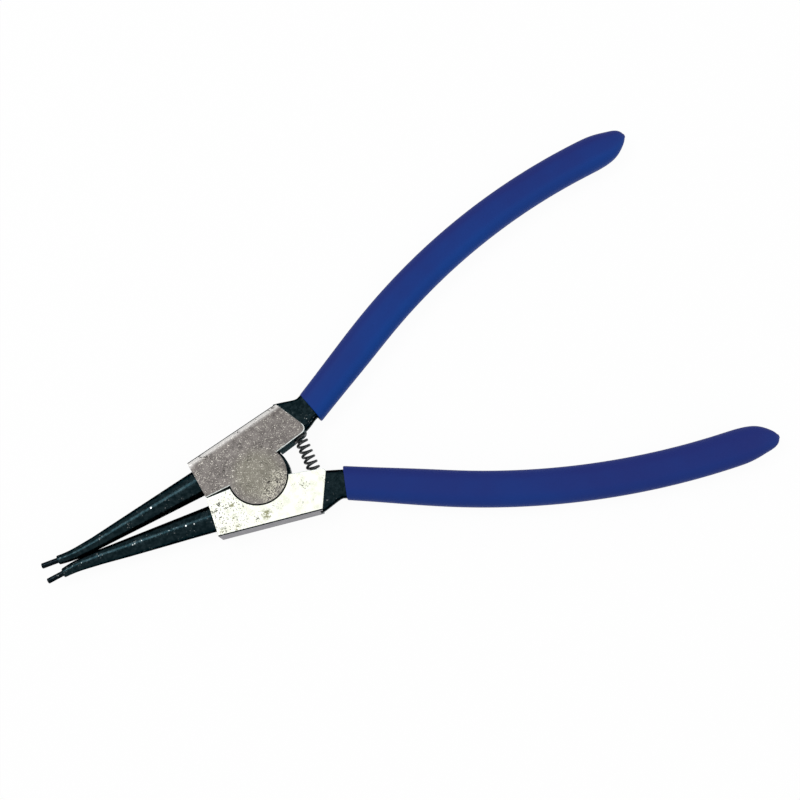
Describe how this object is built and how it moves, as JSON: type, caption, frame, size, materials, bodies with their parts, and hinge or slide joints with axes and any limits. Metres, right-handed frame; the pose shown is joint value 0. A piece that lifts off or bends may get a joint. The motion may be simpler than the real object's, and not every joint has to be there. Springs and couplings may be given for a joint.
{
  "type": "external circlip pliers",
  "caption": "External circlip pliers: black forged levers lapped on a flush rivet, long tapered straight noses with pin tips, a coil return spring and dipped blue grips.",
  "frame": {"origin": "on the pivot axis, on the back face of the head, which lies on the bench", "axes": "+X from the pivot towards the handle ends along the closing line between the two halves, +Y towards the upper half, +Z along the pivot axis towards the front face"},
  "size_m": [0.1709, 0.0892, 0.0076],
  "materials": {
    "lever": "black oxide forging, faces and outer side of the head ground bright",
    "rivet": "ground flush with the head",
    "spring": "blackened spring wire",
    "grip": "satin dipped vinyl",
    "tip": "hardened pin, oil blackened"
  },
  "bodies": {
    "lower_half": {"lower_lever": "lever", "lower_grip": "grip", "lower_tip": "tip", "pivot_rivet": "rivet", "return_spring": "spring"},
    "upper_half": {"upper_lever": "lever", "upper_grip": "grip", "upper_tip": "tip"}
  },
  "joints": [
    {"name": "handle_squeeze", "type": "hinge", "parent": "lower_half", "child": "upper_half", "pos_m": [0, 0, 0], "axis": [0, 0, -1], "range_deg": [0, 34], "stiffness_Nm_per_rad": 0.42, "springref_deg": -5.73, "deforming": ["return_spring"]}
  ]
}
